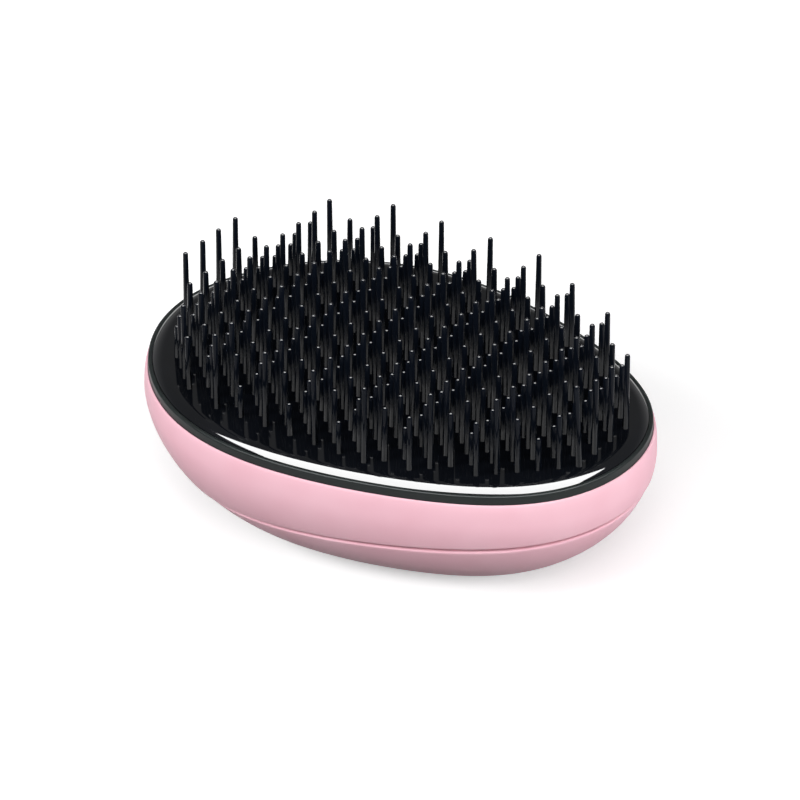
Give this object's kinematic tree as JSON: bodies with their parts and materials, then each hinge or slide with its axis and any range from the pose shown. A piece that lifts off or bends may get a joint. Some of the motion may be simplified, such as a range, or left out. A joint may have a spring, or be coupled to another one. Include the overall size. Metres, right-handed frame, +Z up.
{
  "type": "palm detangling brush",
  "caption": "Egg-shaped palm hair brush with a domed two-part pink back and a black pad of stepped, flexible bristles for detangling hair.",
  "frame": {"origin": "middle of the flat crown that the brush rests on when it lies on its back", "axes": "+X along the brush towards its narrow end, +Y across it, +Z up along the bristles"},
  "size_m": [0.1156, 0.0862, 0.051],
  "materials": {
    "shell_pink": "satin",
    "ring_black": "satin",
    "pad_black": "gloss",
    "backing_black": "plain",
    "bristle_black": "satin flexible polymer"
  },
  "bodies": {
    "handle": {"side_shell": "shell_pink", "palm_cap": "shell_pink", "rim_ring": "ring_black", "pad_backing": "backing_black", "bristle_pad": "pad_black"},
    "row_01": {"bristle_row_01": "bristle_black"},
    "row_02": {"bristle_row_02": "bristle_black"},
    "row_03": {"bristle_row_03": "bristle_black"},
    "row_04": {"bristle_row_04": "bristle_black"},
    "row_05": {"bristle_row_05": "bristle_black"},
    "row_06": {"bristle_row_06": "bristle_black"},
    "row_07": {"bristle_row_07": "bristle_black"},
    "row_08": {"bristle_row_08": "bristle_black"},
    "row_09": {"bristle_row_09": "bristle_black"},
    "row_10": {"bristle_row_10": "bristle_black"},
    "row_11": {"bristle_row_11": "bristle_black"},
    "row_12": {"bristle_row_12": "bristle_black"},
    "row_13": {"bristle_row_13": "bristle_black"},
    "row_14": {"bristle_row_14": "bristle_black"},
    "row_15": {"bristle_row_15": "bristle_black"},
    "row_16": {"bristle_row_16": "bristle_black"},
    "row_17": {"bristle_row_17": "bristle_black"},
    "row_18": {"bristle_row_18": "bristle_black"},
    "row_19": {"bristle_row_19": "bristle_black"},
    "row_20": {"bristle_row_20": "bristle_black"},
    "row_21": {"bristle_row_21": "bristle_black"},
    "row_22": {"bristle_row_22": "bristle_black"},
    "row_23": {"bristle_row_23": "bristle_black"},
    "row_24": {"bristle_row_24": "bristle_black"},
    "row_25": {"bristle_row_25": "bristle_black"},
    "row_26": {"bristle_row_26": "bristle_black"},
    "row_27": {"bristle_row_27": "bristle_black"},
    "row_28": {"bristle_row_28": "bristle_black"},
    "row_29": {"bristle_row_29": "bristle_black"},
    "row_30": {"bristle_row_30": "bristle_black"},
    "row_31": {"bristle_row_31": "bristle_black"},
    "row_32": {"bristle_row_32": "bristle_black"},
    "row_33": {"bristle_row_33": "bristle_black"}
  },
  "joints": [
    {"name": "bend_01", "type": "hinge", "parent": "handle", "child": "row_01", "pos_m": [-0.0489, 0, 0.0332], "axis": [0, 1, 0], "range_deg": [-9, 9], "stiffness_Nm_per_rad": 0.02},
    {"name": "bend_02", "type": "hinge", "parent": "handle", "child": "row_02", "pos_m": [-0.0458, 0, 0.0332], "axis": [0, 1, 0], "range_deg": [-9, 9], "stiffness_Nm_per_rad": 0.035},
    {"name": "bend_03", "type": "hinge", "parent": "handle", "child": "row_03", "pos_m": [-0.0427, 0, 0.0332], "axis": [0, 1, 0], "range_deg": [-9, 9], "stiffness_Nm_per_rad": 0.0937},
    {"name": "bend_04", "type": "hinge", "parent": "handle", "child": "row_04", "pos_m": [-0.0396, 0, 0.0332], "axis": [0, 1, 0], "range_deg": [-9, 9], "stiffness_Nm_per_rad": 0.0631},
    {"name": "bend_05", "type": "hinge", "parent": "handle", "child": "row_05", "pos_m": [-0.0365, 0, 0.0332], "axis": [0, 1, 0], "range_deg": [-9, 9], "stiffness_Nm_per_rad": 0.05},
    {"name": "bend_06", "type": "hinge", "parent": "handle", "child": "row_06", "pos_m": [-0.0334, 0, 0.0332], "axis": [0, 1, 0], "range_deg": [-9, 9], "stiffness_Nm_per_rad": 0.0771},
    {"name": "bend_07", "type": "hinge", "parent": "handle", "child": "row_07", "pos_m": [-0.0303, 0, 0.0332], "axis": [0, 1, 0], "range_deg": [-9, 9], "stiffness_Nm_per_rad": 0.1171},
    {"name": "bend_08", "type": "hinge", "parent": "handle", "child": "row_08", "pos_m": [-0.0272, 0, 0.0332], "axis": [0, 1, 0], "range_deg": [-9, 9], "stiffness_Nm_per_rad": 0.0771},
    {"name": "bend_09", "type": "hinge", "parent": "handle", "child": "row_09", "pos_m": [-0.0241, 0, 0.0332], "axis": [0, 1, 0], "range_deg": [-9, 9], "stiffness_Nm_per_rad": 0.06},
    {"name": "bend_10", "type": "hinge", "parent": "handle", "child": "row_10", "pos_m": [-0.021, 0, 0.0332], "axis": [0, 1, 0], "range_deg": [-9, 9], "stiffness_Nm_per_rad": 0.0771},
    {"name": "bend_11", "type": "hinge", "parent": "handle", "child": "row_11", "pos_m": [-0.0179, 0, 0.0332], "axis": [0, 1, 0], "range_deg": [-9, 9], "stiffness_Nm_per_rad": 0.1405},
    {"name": "bend_12", "type": "hinge", "parent": "handle", "child": "row_12", "pos_m": [-0.0148, 0, 0.0332], "axis": [0, 1, 0], "range_deg": [-9, 9], "stiffness_Nm_per_rad": 0.0771},
    {"name": "bend_13", "type": "hinge", "parent": "handle", "child": "row_13", "pos_m": [-0.0117, 0, 0.0332], "axis": [0, 1, 0], "range_deg": [-9, 9], "stiffness_Nm_per_rad": 0.06},
    {"name": "bend_14", "type": "hinge", "parent": "handle", "child": "row_14", "pos_m": [-0.0086, 0, 0.0332], "axis": [0, 1, 0], "range_deg": [-9, 9], "stiffness_Nm_per_rad": 0.0771},
    {"name": "bend_15", "type": "hinge", "parent": "handle", "child": "row_15", "pos_m": [-0.0055, 0, 0.0332], "axis": [0, 1, 0], "range_deg": [-9, 9], "stiffness_Nm_per_rad": 0.1405},
    {"name": "bend_16", "type": "hinge", "parent": "handle", "child": "row_16", "pos_m": [-0.0024, 0, 0.0332], "axis": [0, 1, 0], "range_deg": [-9, 9], "stiffness_Nm_per_rad": 0.0771},
    {"name": "bend_17", "type": "hinge", "parent": "handle", "child": "row_17", "pos_m": [0.0007, 0, 0.0332], "axis": [0, 1, 0], "range_deg": [-9, 9], "stiffness_Nm_per_rad": 0.06},
    {"name": "bend_18", "type": "hinge", "parent": "handle", "child": "row_18", "pos_m": [0.0038, 0, 0.0332], "axis": [0, 1, 0], "range_deg": [-9, 9], "stiffness_Nm_per_rad": 0.0771},
    {"name": "bend_19", "type": "hinge", "parent": "handle", "child": "row_19", "pos_m": [0.0069, 0, 0.0332], "axis": [0, 1, 0], "range_deg": [-9, 9], "stiffness_Nm_per_rad": 0.1405},
    {"name": "bend_20", "type": "hinge", "parent": "handle", "child": "row_20", "pos_m": [0.01, 0, 0.0332], "axis": [0, 1, 0], "range_deg": [-9, 9], "stiffness_Nm_per_rad": 0.0771},
    {"name": "bend_21", "type": "hinge", "parent": "handle", "child": "row_21", "pos_m": [0.0131, 0, 0.0332], "axis": [0, 1, 0], "range_deg": [-9, 9], "stiffness_Nm_per_rad": 0.06},
    {"name": "bend_22", "type": "hinge", "parent": "handle", "child": "row_22", "pos_m": [0.0162, 0, 0.0332], "axis": [0, 1, 0], "range_deg": [-9, 9], "stiffness_Nm_per_rad": 0.0771},
    {"name": "bend_23", "type": "hinge", "parent": "handle", "child": "row_23", "pos_m": [0.0193, 0, 0.0332], "axis": [0, 1, 0], "range_deg": [-9, 9], "stiffness_Nm_per_rad": 0.1171},
    {"name": "bend_24", "type": "hinge", "parent": "handle", "child": "row_24", "pos_m": [0.0224, 0, 0.0332], "axis": [0, 1, 0], "range_deg": [-9, 9], "stiffness_Nm_per_rad": 0.0771},
    {"name": "bend_25", "type": "hinge", "parent": "handle", "child": "row_25", "pos_m": [0.0255, 0, 0.0332], "axis": [0, 1, 0], "range_deg": [-9, 9], "stiffness_Nm_per_rad": 0.05},
    {"name": "bend_26", "type": "hinge", "parent": "handle", "child": "row_26", "pos_m": [0.0286, 0, 0.0332], "axis": [0, 1, 0], "range_deg": [-9, 9], "stiffness_Nm_per_rad": 0.0631},
    {"name": "bend_27", "type": "hinge", "parent": "handle", "child": "row_27", "pos_m": [0.0317, 0, 0.0332], "axis": [0, 1, 0], "range_deg": [-9, 9], "stiffness_Nm_per_rad": 0.0937},
    {"name": "bend_28", "type": "hinge", "parent": "handle", "child": "row_28", "pos_m": [0.0348, 0, 0.0332], "axis": [0, 1, 0], "range_deg": [-9, 9], "stiffness_Nm_per_rad": 0.0631},
    {"name": "bend_29", "type": "hinge", "parent": "handle", "child": "row_29", "pos_m": [0.0379, 0, 0.0332], "axis": [0, 1, 0], "range_deg": [-9, 9], "stiffness_Nm_per_rad": 0.04},
    {"name": "bend_30", "type": "hinge", "parent": "handle", "child": "row_30", "pos_m": [0.041, 0, 0.0332], "axis": [0, 1, 0], "range_deg": [-9, 9], "stiffness_Nm_per_rad": 0.0491},
    {"name": "bend_31", "type": "hinge", "parent": "handle", "child": "row_31", "pos_m": [0.0441, 0, 0.0332], "axis": [0, 1, 0], "range_deg": [-9, 9], "stiffness_Nm_per_rad": 0.0703},
    {"name": "bend_32", "type": "hinge", "parent": "handle", "child": "row_32", "pos_m": [0.0472, 0, 0.0332], "axis": [0, 1, 0], "range_deg": [-9, 9], "stiffness_Nm_per_rad": 0.035},
    {"name": "bend_33", "type": "hinge", "parent": "handle", "child": "row_33", "pos_m": [0.0503, 0, 0.0332], "axis": [0, 1, 0], "range_deg": [-9, 9], "stiffness_Nm_per_rad": 0.02}
  ]
}
